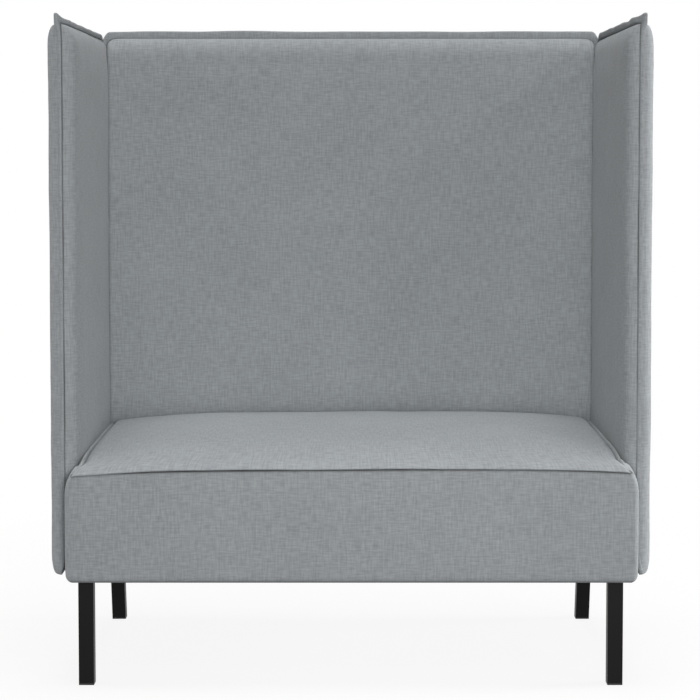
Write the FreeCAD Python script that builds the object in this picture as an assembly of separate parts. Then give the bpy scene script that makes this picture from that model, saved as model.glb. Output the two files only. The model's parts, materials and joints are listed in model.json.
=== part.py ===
"""High-back two-seater sofa for offices and public rooms, as an assembly of separate pieces.

A sprung timber seat on four square steel legs is bolted between two upholstered side panels and in
front of an upholstered back panel. Each panel is a timber frame with a board on both faces, foam over
the boards, a fabric cover on each face and a flat welt sewn between the two covers.

Millimetres. +X is the sitter's left-to-right seen from the front, +Y runs to the rear, +Z is up.
The origin is on the floor under the middle of the sofa.
"""

import FreeCAD, Part
import math
import os

from FreeCAD import Placement, Rotation, Vector

# Overall sizes
OVERALL_DEPTH = 732.0  # seat front to the rear tips of the side panels
OVERALL_HEIGHT = 1404.0  # floor to the top tips of the side panels
SEAT_WIDTH = 1136.0  # clear width between the side panels
GAP = 0.5  # clearance between upholstered neighbours

# Fabric, welts and panel layers
COVER = 2.0  # fabric with its backing
BOARD = 4.0  # hardboard on both faces of a panel frame
FRAME_THICKNESS = 30.0  # timber of the panel frames
POST_WIDTH = 45.0  # posts and top rails of the panel frames
BOTTOM_RAIL_HEIGHT = 60.0  # bottom rails of the panel frames, which take the bolts
EDGE_FOAM = 10.0  # foam round the edge of a panel frame
SIDE_INNER_FOAM = 15.0  # foam of a side panel towards the sitter
SIDE_OUTER_FOAM = 10.0
BACK_FRONT_FOAM = 26.0  # foam that the sitter leans on
BACK_REAR_FOAM = 12.0
WELT_THICKNESS = 9.0
CORNER_EXTRA = 6.0  # a panel's corner radius beyond its edge radius

# Side panels
PANEL_LIFT = 6.0  # lower tips of the panels above the seat's underside
SIDE_WELT_REACH = 12.0  # welt beyond the padded edge
EAR = 6.0  # how far the welt's corners stick out
EAR_RUN = 45.0  # length of the curve that runs out to a corner
SIDE_EDGE_RADIUS = 16.0

# Back panel
BACK_INSET = 3.0  # rear of the back panel ahead of the side panels' padding
BACK_TOP_WELT = 22.0
BACK_SIDE_WELT = 6.0
BACK_BOTTOM_WELT = 12.0
BACK_TOP_DROP = 1.0  # top of the back's welt below the side panels' tips
BACK_EDGE_RADIUS = 20.0
BACK_WELT_CORNER = 20.0

# Seat
SEAT_BORDER_HEIGHT = 225.0  # underside to the seam at the front corners
SEAM_ARCH = 11.0  # how far the front seam rises in the middle
ARCH_LEFT_AHEAD = 0.2  # share of that arch where the crown's surface starts, ahead of the seat
SEAM_RISE = 22.0  # how far the side seams rise to the rear
SEAT_CROWN = 36.0  # height of the padding above the side seams, halfway back
REAR_CROWN = 36.0  # the same, where the seat meets the back
NOSE_REACH = 50.0  # seat front ahead of the side panels
NOSE_OVERLAP = 15.0  # how far the seat front covers each side panel's front edge
NOSE_CORNER_RADIUS = 18.0
FRONT_BULGE = 4.0
HEM_RADIUS = 10.0  # round of the fabric under the seat
FRONT_FOAM = 22.0
RAIL_THICKNESS = 25.0
RAIL_HEIGHT = 90.0
CENTRE_RAIL_DROP = 30.0
BLOCK_SIZE = 120.0
BLOCK_HEIGHT = 45.0
DUST_COVER = 1.0
DUST_COVER_INSET = 8.0

# Seat springs
SPRING_COUNT = 10
SPRING_WIRE = 3.6
SPRING_WIDTH = 50.0
SPRING_PITCH = 24.0
CLIP_WIDTH = 18.0
CLIP_LENGTH = 14.0
CLIP_BASE = 2.0
CLIP_ROOF = 1.0
SPRING_PAD = 5.0

# Legs
LEG_HEIGHT = 222.0
LEG_SECTION = 32.0
LEG_WALL = 2.0
LEG_EDGE_RADIUS = 1.5
LEG_PLATE = 4.0
LEG_PLATE_MARGIN = 18.0  # plate beyond the bolt centres
LEG_SIDE_REACH = 4.0  # outer face of a leg beyond the side panel's inner face
FRONT_LEG_SETBACK = 50.0  # leg front behind the seat front
REAR_FOOT_INSET = 17.0  # rear foot ahead of the side panels' rear tips
REAR_LEG_RAKE = 15.0  # degrees that the rear legs slope back towards the floor
GLIDE_FOOT = 4.0
GLIDE_PLUG = 20.0

# Fasteners
BOLT_DIAMETER = 8.0
BOLT_HEAD_DIAMETER = 14.0
BOLT_HEAD_HEIGHT = 5.0
BOLT_CLEARANCE = 0.4  # added to a bolt's radius in its hole
FIT_CLEARANCE = 0.1  # added to the radius of a piece in its seat
TEE_NUT_DIAMETER = 11.0
TEE_NUT_LENGTH = 14.0
TEE_NUT_FLANGE_DIAMETER = 22.0
TEE_NUT_FLANGE = 2.0
SLEEVE_DIAMETER = 14.0
LEG_BOLT_SPACING = 55.0
SIDE_BOLT_SPACING = 300.0
BACK_BOLT_SPACING = 700.0
DOWEL_DIAMETER = 8.0
DOWEL_DEPTH = 25.0  # how far a dowel enters each post
LOW_DOWEL_RISE = 440.0  # lower dowels above the back panel's padded bottom
HIGH_DOWEL_DROP = 130.0  # upper dowels below its padded top

# Places worked out from the sizes above
FRONT = -OVERALL_DEPTH / 2
REAR = OVERALL_DEPTH / 2
FAR = 2 * (OVERALL_DEPTH + OVERALL_HEIGHT + SEAT_WIDTH)  # past everything, for cutting

SEAT_UNDERSIDE = LEG_HEIGHT + LEG_PLATE + DUST_COVER
SEAT_HALF = SEAT_WIDTH / 2 - GAP
NOSE_HALF = SEAT_WIDTH / 2 + NOSE_OVERLAP
SEAM_CORNER = SEAT_UNDERSIDE + SEAT_BORDER_HEIGHT

CORE_HALF = FRAME_THICKNESS / 2 + BOARD
SIDE_PLANE = SEAT_WIDTH / 2 + COVER + SIDE_INNER_FOAM + CORE_HALF
SIDE_MARGIN = EAR + SIDE_WELT_REACH  # tips to the padded edge
SIDE_FRONT = FRONT + NOSE_REACH + SIDE_MARGIN
SIDE_REAR = REAR - SIDE_MARGIN
SIDE_MIDDLE = (SIDE_FRONT + SIDE_REAR) / 2
SIDE_HALF_WIDTH = (SIDE_REAR - SIDE_FRONT) / 2
PANEL_BOTTOM = SEAT_UNDERSIDE + PANEL_LIFT
SIDE_BOTTOM = PANEL_BOTTOM + SIDE_MARGIN
SIDE_TOP = OVERALL_HEIGHT - SIDE_MARGIN

BACK_FRONT_HALF = CORE_HALF + BACK_FRONT_FOAM + COVER
BACK_REAR_HALF = CORE_HALF + BACK_REAR_FOAM + COVER
BACK_PLANE = SIDE_REAR - BACK_INSET - BACK_REAR_HALF
BACK_FACE = BACK_PLANE - BACK_FRONT_HALF
BACK_HALF_WIDTH = SEAT_WIDTH / 2 - GAP - BACK_SIDE_WELT
BACK_TOP = OVERALL_HEIGHT - BACK_TOP_DROP - BACK_TOP_WELT
BACK_BOTTOM = PANEL_BOTTOM + EAR + BACK_BOTTOM_WELT

NOSE_BACK = SIDE_FRONT - GAP
SEAT_REAR = BACK_FACE - GAP
FRAME_HALF = SEAT_HALF - COVER
FRAME_BOTTOM = SEAT_UNDERSIDE + COVER
FRAME_FRONT = FRONT + COVER + FRONT_FOAM
FRAME_REAR = SEAT_REAR - COVER
RAIL_TOP = FRAME_BOTTOM + RAIL_HEIGHT
SPRING_LEVEL = RAIL_TOP + CLIP_BASE + SPRING_WIRE / 2
CLIP_TOP = RAIL_TOP + CLIP_BASE + SPRING_WIRE + CLIP_ROOF
PAD_TOP = CLIP_TOP + SPRING_PAD

LEG_OUTSIDE = SEAT_WIDTH / 2 + LEG_SIDE_REACH
BLOCK_X = FRAME_HALF - RAIL_THICKNESS - BLOCK_SIZE / 2
FRONT_BLOCK_Y = FRAME_FRONT + RAIL_THICKNESS + BLOCK_SIZE / 2
REAR_BLOCK_Y = FRAME_REAR - RAIL_THICKNESS - BLOCK_SIZE / 2
BLOCK_TOP = FRAME_BOTTOM + BLOCK_HEIGHT

RAKE_SLOPE = math.tan(math.radians(REAR_LEG_RAKE))
RAKED_SECTION = LEG_SECTION / math.cos(math.radians(REAR_LEG_RAKE))
RAKED_WALL = LEG_WALL / math.cos(math.radians(REAR_LEG_RAKE))

PANEL_FRAME_BOTTOM = max(SIDE_BOTTOM, BACK_BOTTOM) + COVER + EDGE_FOAM
PANEL_BOLT_HEIGHT = (PANEL_FRAME_BOTTOM + RAIL_TOP) / 2

pieces = {}


def box(x0, x1, y0, y1, z0, z1):
    return Part.makeBox(x1 - x0, y1 - y0, z1 - z0, Vector(x0, y0, z0))


def rod(start, direction, length, diameter):
    return Part.makeCylinder(diameter / 2, length, start, direction)


def edges_along(shape, axis):
    """The straight edges of a shape that run along an axis."""
    found = []
    for edge in shape.Edges:
        if isinstance(edge.Curve, Part.Line):
            if abs(abs(edge.Curve.Direction.dot(axis)) - 1) < 1e-6:
                found.append(edge)
    return found


def edges_at(shape, axis, place):
    """The edges of a shape that lie in the plane at a place along an axis."""
    found = []
    for edge in shape.Edges:
        ends = [vertex.Point.dot(axis) for vertex in edge.Vertexes]
        if all(abs(end - place) < 1e-6 for end in ends):
            found.append(edge)
    return found


def bore(names, *tools):
    """Cuts the same holes in several pieces."""
    for name in names:
        pieces[name] = pieces[name].cut(Part.makeCompound(list(tools)))


# Upholstered panels, built in a frame of their own: x across, -y towards the sitter, z up


def padded_slab(half_width, bottom, top, inner, outer, edge_radius):
    """A slab with rounded corners and rounded rims, from -inner to outer through its thickness."""
    across = Vector(0, 1, 0)
    slab = box(-half_width, half_width, -inner, outer, bottom, top)
    slab = slab.makeFillet(edge_radius + CORNER_EXTRA, edges_along(slab, across))
    rims = edges_at(slab, across, -inner) + edges_at(slab, across, outer)
    return slab.makeFillet(edge_radius, rims)


def ear_curve(start, along, out):
    """An arc that leaves a welt's straight edge and runs out to a corner's tip."""
    span = EAR_RUN + EAR
    radius = (span**2 + EAR**2) / (2 * EAR)
    half_turn = math.atan2(EAR, span)
    middle = start + along * (radius * math.sin(half_turn))
    middle = middle + out * (radius * (1 - math.cos(half_turn)))
    tip = start + along * span + out * EAR
    return Part.Arc(start, middle, tip).toShape()


def eared_plate(half_width, bottom, top):
    """A welt's plate with straight edges that run out to a pointed ear at each corner."""
    middle_height = (bottom + top) / 2
    half_height = (top - bottom) / 2
    level = -WELT_THICKNESS / 2
    edges = []
    sides = [
        (Vector(1, 0, 0), Vector(0, 0, 1), half_width, half_height),
        (Vector(0, 0, -1), Vector(1, 0, 0), half_height, half_width),
        (Vector(-1, 0, 0), Vector(0, 0, -1), half_width, half_height),
        (Vector(0, 0, 1), Vector(-1, 0, 0), half_height, half_width),
    ]
    for along, out, half_length, distance in sides:
        centre = Vector(0, level, middle_height) + out * distance
        first = centre - along * (half_length - EAR_RUN)
        last = centre + along * (half_length - EAR_RUN)
        into = ear_curve(first, along * -1, out)
        outward = ear_curve(last, along, out)
        edges += [into, Part.LineSegment(first, last).toShape(), outward]
    outline = Part.Wire(Part.__sortEdges__(edges))
    return Part.Face(outline).extrude(Vector(0, WELT_THICKNESS, 0))


def rounded_plate(half_width, bottom, top):
    """A welt's plate with plain round corners."""
    half = WELT_THICKNESS / 2
    plate = box(-half_width, half_width, -half, half, bottom, top)
    return plate.makeFillet(BACK_WELT_CORNER, edges_along(plate, Vector(0, 1, 0)))


def panel_frame(names, half_width, bottom, top):
    """Two posts with a top and a bottom rail between them."""
    low_post, high_post, top_rail, bottom_rail = names
    half = FRAME_THICKNESS / 2
    inside = half_width - POST_WIDTH
    return {
        low_post: box(-half_width, -inside, -half, half, bottom, top),
        high_post: box(inside, half_width, -half, half, bottom, top),
        top_rail: box(-inside, inside, -half, half, top - POST_WIDTH, top),
        bottom_rail: box(-inside, inside, -half, half, bottom, bottom + BOTTOM_RAIL_HEIGHT),
    }


def upholstered_panel(prefix, faces, frame_names, half_width, bottom, top, foams, edge_radius, welt):
    """All the pieces of one panel. Its two faces are named, and the first one faces the sitter."""
    inner = CORE_HALF + foams[0] + COVER
    outer = CORE_HALF + foams[1] + COVER
    outside = padded_slab(half_width, bottom, top, inner, outer, edge_radius)
    inside = padded_slab(
        half_width - COVER,
        bottom + COVER,
        top - COVER,
        inner - COVER,
        outer - COVER,
        edge_radius - COVER,
    )
    skin = outside.cut(inside)
    half_welt = WELT_THICKNESS / 2
    inner_side = box(-FAR, FAR, -FAR, 0, -FAR, FAR)
    outer_side = box(-FAR, FAR, 0, FAR, -FAR, FAR)

    core_width = half_width - COVER - EDGE_FOAM
    core_bottom = bottom + COVER + EDGE_FOAM
    core_top = top - COVER - EDGE_FOAM
    core = box(-core_width, core_width, -CORE_HALF, CORE_HALF, core_bottom, core_top)
    half_frame = FRAME_THICKNESS / 2

    made = panel_frame(frame_names, core_width, core_bottom, core_top)
    spans = [(-CORE_HALF, -half_frame), (half_frame, CORE_HALF)]
    for face, side, (near, far) in zip(faces, (inner_side, outer_side), spans):
        shift = Vector(0, math.copysign(half_welt, far + near), 0)
        made[f"{prefix}_{face}_board"] = box(-core_width, core_width, near, far, core_bottom, core_top)
        made[f"{prefix}_{face}_foam"] = inside.common(side).cut(core)
        made[f"{prefix}_{face}_cover"] = skin.common(side.translated(shift))
    made[f"{prefix}_welt"] = welt.cut(inside)
    return made


def place_panel(made, turn, x, y):
    """Turns a panel about the upright axis and sets it in the sofa."""
    placement = Placement(Vector(x, y, 0), Rotation(Vector(0, 0, 1), turn))
    for name, shape in made.items():
        pieces[name] = shape.transformed(placement.toMatrix())


def side_panels():
    welt = eared_plate(
        SIDE_HALF_WIDTH + SIDE_WELT_REACH,
        SIDE_BOTTOM - SIDE_WELT_REACH,
        SIDE_TOP + SIDE_WELT_REACH,
    )
    for prefix, sign in (("left", -1), ("right", 1)):
        posts = [f"{prefix}_front_post", f"{prefix}_rear_post"]
        frame_names = posts[::-sign] + [f"{prefix}_top_rail", f"{prefix}_bottom_rail"]
        made = upholstered_panel(
            prefix,
            ("inner", "outer"),
            frame_names,
            SIDE_HALF_WIDTH,
            SIDE_BOTTOM,
            SIDE_TOP,
            (SIDE_INNER_FOAM, SIDE_OUTER_FOAM),
            SIDE_EDGE_RADIUS,
            welt,
        )
        place_panel(made, -90 * sign, sign * SIDE_PLANE, SIDE_MIDDLE)


def back_panel():
    welt = rounded_plate(
        BACK_HALF_WIDTH + BACK_SIDE_WELT,
        BACK_BOTTOM - BACK_BOTTOM_WELT,
        BACK_TOP + BACK_TOP_WELT,
    )
    frame_names = ["back_left_post", "back_right_post", "back_top_rail", "back_bottom_rail"]
    made = upholstered_panel(
        "back",
        ("front", "rear"),
        frame_names,
        BACK_HALF_WIDTH,
        BACK_BOTTOM,
        BACK_TOP,
        (BACK_FRONT_FOAM, BACK_REAR_FOAM),
        BACK_EDGE_RADIUS,
        welt,
    )
    place_panel(made, 0, 0, BACK_PLANE)


# Seat


def seat_prism(inset, bottom):
    """The seat's plan raised to a block: a nose ahead of the side panels, and a body between them."""
    nose = NOSE_HALF - inset
    body = SEAT_HALF - inset
    corner_y = FRONT + FRONT_BULGE + inset
    step_y = NOSE_BACK - inset
    rear_y = SEAT_REAR - inset
    corners = [
        Vector(nose, corner_y, bottom),
        Vector(nose, step_y, bottom),
        Vector(body, step_y, bottom),
        Vector(body, rear_y, bottom),
        Vector(-body, rear_y, bottom),
        Vector(-body, step_y, bottom),
        Vector(-nose, step_y, bottom),
        Vector(-nose, corner_y, bottom),
    ]
    edges = [Part.LineSegment(a, b).toShape() for a, b in zip(corners, corners[1:])]
    edges.append(Part.Arc(corners[-1], Vector(0, FRONT + inset, bottom), corners[0]).toShape())
    block = Part.Face(Part.Wire(edges)).extrude(Vector(0, 0, OVERALL_HEIGHT - bottom))
    uprights = [
        edge
        for edge in edges_along(block, Vector(0, 0, 1))
        if abs(edge.Vertexes[0].Point.y - corner_y) < 1e-6
    ]
    block = block.makeFillet(NOSE_CORNER_RADIUS - inset, uprights)
    hem_edges = [
        edge
        for edge in edges_at(block, Vector(0, 0, 1), bottom)
        if edge.CenterOfMass.y < step_y - 1e-6 and edge.BoundBox.YMax < step_y + 1e-3
    ]
    return block.makeFillet(HEM_RADIUS - inset, hem_edges)


def crowned_block(drop):
    """Everything below the seat's crowned top, lowered by a drop."""
    reach = NOSE_HALF + NOSE_OVERLAP
    middle = (FRONT + SEAT_REAR) / 2
    front_end = FRONT - NOSE_REACH
    stations = [
        (front_end, 0.0, SEAM_ARCH * ARCH_LEFT_AHEAD),
        (FRONT, 0.0, SEAM_ARCH),
        (middle, SEAM_RISE / 2, SEAT_CROWN),
        (SEAT_REAR, SEAM_RISE, REAR_CROWN),
    ]
    sections = []
    for y, rise, crown in stations:
        edge = SEAM_CORNER + rise - drop
        low_left = Vector(-reach, y, 0)
        low_right = Vector(reach, y, 0)
        high_right = Vector(reach, y, edge)
        high_left = Vector(-reach, y, edge)
        sections.append(
            Part.Wire(
                [
                    Part.LineSegment(low_left, low_right).toShape(),
                    Part.LineSegment(low_right, high_right).toShape(),
                    Part.Arc(high_right, Vector(0, y, edge + crown), high_left).toShape(),
                    Part.LineSegment(high_left, low_left).toShape(),
                ]
            )
        )
    return Part.makeLoft(sections, True, False)


def seat_upholstery():
    outside = seat_prism(0, SEAT_UNDERSIDE)
    inside = seat_prism(COVER, FRAME_BOTTOM)
    crown = crowned_block(0)
    padding = crowned_block(COVER)
    window = box(
        RAIL_THICKNESS - FRAME_HALF,
        FRAME_HALF - RAIL_THICKNESS,
        FRAME_FRONT + RAIL_THICKNESS,
        FRAME_REAR - RAIL_THICKNESS,
        0,
        RAIL_TOP,
    )
    frame_room = box(-FRAME_HALF, FRAME_HALF, FRAME_FRONT, FRAME_REAR + FAR, 0, PAD_TOP)
    body_room = box(-FAR, FAR, NOSE_BACK - COVER, FAR, 0, PAD_TOP)
    pieces["seat_top_cover"] = outside.common(crown).cut(padding)
    pieces["seat_border_cover"] = outside.common(padding).cut(inside).cut(window)
    pieces["seat_foam"] = inside.common(padding).cut(frame_room).cut(body_room)


def seat_frame():
    inner = FRAME_HALF - RAIL_THICKNESS
    front_inner = FRAME_FRONT + RAIL_THICKNESS
    rear_inner = FRAME_REAR - RAIL_THICKNESS
    low, high = FRAME_BOTTOM, RAIL_TOP
    half_centre = RAIL_THICKNESS / 2
    pieces["seat_front_rail"] = box(-FRAME_HALF, FRAME_HALF, FRAME_FRONT, front_inner, low, high)
    pieces["seat_rear_rail"] = box(-FRAME_HALF, FRAME_HALF, rear_inner, FRAME_REAR, low, high)
    pieces["seat_left_rail"] = box(-FRAME_HALF, -inner, front_inner, rear_inner, low, high)
    pieces["seat_right_rail"] = box(inner, FRAME_HALF, front_inner, rear_inner, low, high)
    centre_top = high - CENTRE_RAIL_DROP
    pieces["seat_centre_rail"] = box(
        -half_centre, half_centre, front_inner, rear_inner, low, centre_top
    )
    half = BLOCK_SIZE / 2
    blocks = []
    for x, y in leg_corners():
        blocks.append(box(x - half, x + half, y - half, y + half, low, BLOCK_TOP))
    pieces["seat_corner_blocks"] = Part.makeCompound(blocks)


def leg_corners():
    """Centres of the four corner blocks: front left, front right, rear left, rear right."""
    return [(side * BLOCK_X, y) for y in (FRONT_BLOCK_Y, REAR_BLOCK_Y) for side in (-1, 1)]


def zigzag_spring(x, start, end):
    """One sinuous wire spring, with straight bars joined by half turns."""
    bars = max(2, round((end - start) / SPRING_PITCH))
    pitch = (end - start) / bars
    half_bar = (SPRING_WIDTH - pitch) / 2
    edges = []
    side = 1
    for bar in range(bars + 1):
        y = start + bar * pitch
        leaving = Vector(x + side * half_bar, y, SPRING_LEVEL)
        edges.append(Part.LineSegment(Vector(x - side * half_bar, y, SPRING_LEVEL), leaving).toShape())
        if bar < bars:
            outermost = leaving + Vector(side * pitch / 2, pitch / 2, 0)
            landing = leaving + Vector(0, pitch, 0)
            edges.append(Part.Arc(leaving, outermost, landing).toShape())
        side = -side
    path = Part.Wire(edges)
    first = Vector(x - half_bar, start, SPRING_LEVEL)
    ring = Part.Wire([Part.makeCircle(SPRING_WIRE / 2, first, Vector(1, 0, 0))])
    return path.makePipeShell([ring], True, False)


def seat_springs():
    start = FRAME_FRONT + RAIL_THICKNESS / 2
    end = FRAME_REAR - RAIL_THICKNESS / 2
    clear = 2 * (FRAME_HALF - RAIL_THICKNESS)
    spacing = clear / SPRING_COUNT
    springs = []
    clips = []
    half_width, half_length = CLIP_WIDTH / 2, CLIP_LENGTH / 2
    for number in range(SPRING_COUNT):
        x = (number + 0.5) * spacing - clear / 2
        springs.append(zigzag_spring(x, start, end))
        for y in (start, end):
            clip = box(
                x - half_width, x + half_width, y - half_length, y + half_length, RAIL_TOP, CLIP_TOP
            )
            groove_start = Vector(x - half_width, y, SPRING_LEVEL)
            groove = SPRING_WIRE + 2 * FIT_CLEARANCE
            clips.append(clip.cut(rod(groove_start, Vector(1, 0, 0), CLIP_WIDTH, groove)))
    pieces["seat_springs"] = Part.makeCompound(springs)
    pieces["seat_spring_clips"] = Part.makeCompound(clips)
    pieces["seat_spring_pad"] = box(
        -FRAME_HALF, FRAME_HALF, FRAME_FRONT, FRAME_REAR, CLIP_TOP, PAD_TOP
    )


def seat_dust_cover():
    reach = SEAT_HALF - DUST_COVER_INSET
    pieces["dust_cover"] = box(
        -reach,
        reach,
        FRAME_FRONT,
        SEAT_REAR - DUST_COVER_INSET,
        SEAT_UNDERSIDE - DUST_COVER,
        SEAT_UNDERSIDE,
    )


# Legs


def square_bar(x, y, width, depth, bottom, top, slope, radius):
    """An upright or raked bar with level ends. Its centre is at x, y on the bottom end."""
    bar = box(x - width / 2, x + width / 2, y - depth / 2, y + depth / 2, bottom, top)
    if radius > 0:
        bar = bar.makeFillet(radius, edges_along(bar, Vector(0, 0, 1)))
    base = Part.Face(Part.Wire(Part.__sortEdges__(edges_at(bar, Vector(0, 0, 1), bottom))))
    return base.extrude(Vector(0, -slope * (top - bottom), top - bottom))


def leg_with_plate(side, block_y, foot_y, depth, wall, slope):
    """A square tube welded under a plate that reaches over its bolts, and the glide in its foot."""
    x = side * (LEG_OUTSIDE - LEG_SECTION / 2)
    tube_bottom_y = foot_y - slope * GLIDE_FOOT
    outside = square_bar(
        x, tube_bottom_y, LEG_SECTION, depth, GLIDE_FOOT, LEG_HEIGHT, slope, LEG_EDGE_RADIUS
    )
    bore_width = LEG_SECTION - 2 * LEG_WALL
    bore_depth = depth - 2 * wall
    hollow = square_bar(x, tube_bottom_y, bore_width, bore_depth, GLIDE_FOOT, LEG_HEIGHT, slope, 0)
    top_y = foot_y - slope * LEG_HEIGHT
    reach = LEG_BOLT_SPACING / 2 + LEG_PLATE_MARGIN
    xs = sorted([side * LEG_OUTSIDE, side * (BLOCK_X - reach)])
    ys = [top_y - depth / 2, top_y + depth / 2, block_y - reach, block_y + reach]
    plate = box(xs[0], xs[1], min(ys), max(ys), LEG_HEIGHT, LEG_HEIGHT + LEG_PLATE)
    leg = outside.cut(hollow).fuse(plate).removeSplitter()

    foot = square_bar(x, foot_y, LEG_SECTION, depth, 0, GLIDE_FOOT, slope, LEG_EDGE_RADIUS)
    plug = square_bar(
        x,
        tube_bottom_y,
        bore_width - 2 * FIT_CLEARANCE,
        bore_depth - 2 * FIT_CLEARANCE,
        GLIDE_FOOT,
        GLIDE_FOOT + GLIDE_PLUG,
        slope,
        0,
    )
    return leg, foot.fuse(plug).removeSplitter()


def legs():
    front_y = FRONT + FRONT_LEG_SETBACK + LEG_SECTION / 2
    rear_y = REAR - REAR_FOOT_INSET - RAKED_SECTION / 2
    rows = [
        ("front", FRONT_BLOCK_Y, front_y, LEG_SECTION, LEG_WALL, 0.0),
        ("rear", REAR_BLOCK_Y, rear_y, RAKED_SECTION, RAKED_WALL, RAKE_SLOPE),
    ]
    for row, block_y, foot_y, depth, wall, slope in rows:
        glides = []
        for name, side in (("left", -1), ("right", 1)):
            leg, glide = leg_with_plate(side, block_y, foot_y, depth, wall, slope)
            pieces[f"{row}_{name}_leg"] = leg
            glides.append(glide)
        pieces[f"{row}_leg_glides"] = Part.makeCompound(glides)


# Fasteners


def tee_nut(place, outward):
    """A flanged nut whose flange ends at a place, and the room that it takes."""
    seat = place - outward * TEE_NUT_FLANGE
    start = seat - outward * TEE_NUT_LENGTH
    barrel = rod(start, outward, TEE_NUT_LENGTH, TEE_NUT_DIAMETER)
    flange = rod(seat, outward, TEE_NUT_FLANGE, TEE_NUT_FLANGE_DIAMETER)
    thread = rod(start, outward, TEE_NUT_LENGTH + TEE_NUT_FLANGE, BOLT_DIAMETER + 2 * FIT_CLEARANCE)
    nut = barrel.fuse(flange).cut(thread).removeSplitter()
    barrel_room = rod(start, outward, TEE_NUT_LENGTH, TEE_NUT_DIAMETER + 2 * FIT_CLEARANCE)
    flange_room = rod(seat, outward, TEE_NUT_FLANGE, TEE_NUT_FLANGE_DIAMETER + 2 * FIT_CLEARANCE)
    return nut, barrel_room.fuse(flange_room)


def bolt(place, outward, length):
    """A bolt whose head seats at a place, and the hole for its shank."""
    head = rod(place - outward * BOLT_HEAD_HEIGHT, outward, BOLT_HEAD_HEIGHT, BOLT_HEAD_DIAMETER)
    shank = rod(place, outward, length, BOLT_DIAMETER)
    hole = rod(place, outward, length, BOLT_DIAMETER + 2 * BOLT_CLEARANCE)
    return head.fuse(shank).removeSplitter(), hole


def leg_bolts():
    bolts = []
    nuts = []
    up = Vector(0, 0, 1)
    half = LEG_BOLT_SPACING / 2
    length = BLOCK_TOP - LEG_HEIGHT
    leg_names = ["front_left_leg", "front_right_leg", "rear_left_leg", "rear_right_leg"]
    for name, (x, y) in zip(leg_names, leg_corners()):
        for bolt_x in (x - half, x + half):
            for bolt_y in (y - half, y + half):
                made, hole = bolt(Vector(bolt_x, bolt_y, LEG_HEIGHT), up, length)
                nut, room = tee_nut(Vector(bolt_x, bolt_y, BLOCK_TOP), up)
                bolts.append(made)
                nuts.append(nut)
                bore([name, "dust_cover", "seat_border_cover"], hole)
                bore(["seat_corner_blocks"], hole, room)
    pieces["leg_bolts"] = Part.makeCompound(bolts)
    pieces["leg_tee_nuts"] = Part.makeCompound(nuts)


def panel_joint(place, outward, foam, seat_rail, soft_names, panel_rail):
    """A bolt from a seat rail into a panel's bottom rail, with a sleeve that spans the soft layers."""
    sleeve_length = COVER + GAP + COVER + foam + BOARD
    sleeve_start = place + outward * RAIL_THICKNESS
    panel_start = sleeve_start + outward * sleeve_length
    panel_end = panel_start + outward * FRAME_THICKNESS
    made, hole = bolt(place, outward, RAIL_THICKNESS + sleeve_length + FRAME_THICKNESS)
    nut, room = tee_nut(panel_end, outward)
    sleeve = rod(sleeve_start, outward, sleeve_length, SLEEVE_DIAMETER).cut(hole)
    sleeve_room = rod(sleeve_start, outward, sleeve_length, SLEEVE_DIAMETER + 2 * FIT_CLEARANCE)
    bore([seat_rail], hole)
    bore(soft_names, sleeve_room)
    bore([panel_rail], hole, room)
    return made, nut, sleeve


def panel_joints():
    joints = []
    side_y = (FRAME_FRONT + FRAME_REAR) / 2
    half = SIDE_BOLT_SPACING / 2
    for name, sign in (("left", -1), ("right", 1)):
        soft = ["seat_border_cover", f"{name}_inner_cover", f"{name}_inner_foam", f"{name}_inner_board"]
        for y in (side_y - half, side_y + half):
            place = Vector(sign * (FRAME_HALF - RAIL_THICKNESS), y, PANEL_BOLT_HEIGHT)
            outward = Vector(sign, 0, 0)
            rails = (f"seat_{name}_rail", f"{name}_bottom_rail")
            joints.append(panel_joint(place, outward, SIDE_INNER_FOAM, rails[0], soft, rails[1]))
    soft = ["seat_border_cover", "back_front_cover", "back_front_foam", "back_front_board"]
    for x in (-BACK_BOLT_SPACING / 2, BACK_BOLT_SPACING / 2):
        place = Vector(x, FRAME_REAR - RAIL_THICKNESS, PANEL_BOLT_HEIGHT)
        rails = ("seat_rear_rail", "back_bottom_rail")
        joints.append(panel_joint(place, Vector(0, 1, 0), BACK_FRONT_FOAM, rails[0], soft, rails[1]))
    for name, made in zip(("panel_bolts", "panel_tee_nuts", "panel_bolt_sleeves"), zip(*joints)):
        pieces[name] = Part.makeCompound(list(made))


def corner_dowels():
    """Steel pins that tie the back's posts to the rear posts of the side panels."""
    back_post_face = BACK_HALF_WIDTH - COVER - EDGE_FOAM
    side_post_face = SIDE_PLANE - FRAME_THICKNESS / 2
    length = side_post_face - back_post_face + 2 * DOWEL_DEPTH
    behind_welt = BACK_PLANE + (WELT_THICKNESS + FRAME_THICKNESS) / 4
    dowels = []
    for name, sign in (("left", -1), ("right", 1)):
        outward = Vector(sign, 0, 0)
        holed = [f"back_{name}_post", "back_rear_foam", "back_rear_cover"]
        holed += [f"{name}_inner_{layer}" for layer in ("cover", "foam", "board")]
        holed += [f"{name}_rear_post"]
        for height in (BACK_BOTTOM + LOW_DOWEL_RISE, BACK_TOP - HIGH_DOWEL_DROP):
            start = Vector(sign * (back_post_face - DOWEL_DEPTH), behind_welt, height)
            dowels.append(rod(start, outward, length, DOWEL_DIAMETER))
            bore(holed, rod(start, outward, length, DOWEL_DIAMETER + 2 * FIT_CLEARANCE))
    pieces["corner_dowels"] = Part.makeCompound(dowels)


def main():
    side_panels()
    back_panel()
    seat_upholstery()
    seat_frame()
    seat_springs()
    seat_dust_cover()
    legs()
    leg_bolts()
    panel_joints()
    corner_dowels()
    os.makedirs("parts", exist_ok=True)
    for name, shape in pieces.items():
        shape.exportStep(f"parts/{name}.step")


main()
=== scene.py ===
"""Dresses the high-back two-seater sofa: sewn pads, flat welts, woven fabric, light and camera."""

import json
import math

import bmesh
import bpy
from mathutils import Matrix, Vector, noise

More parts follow.
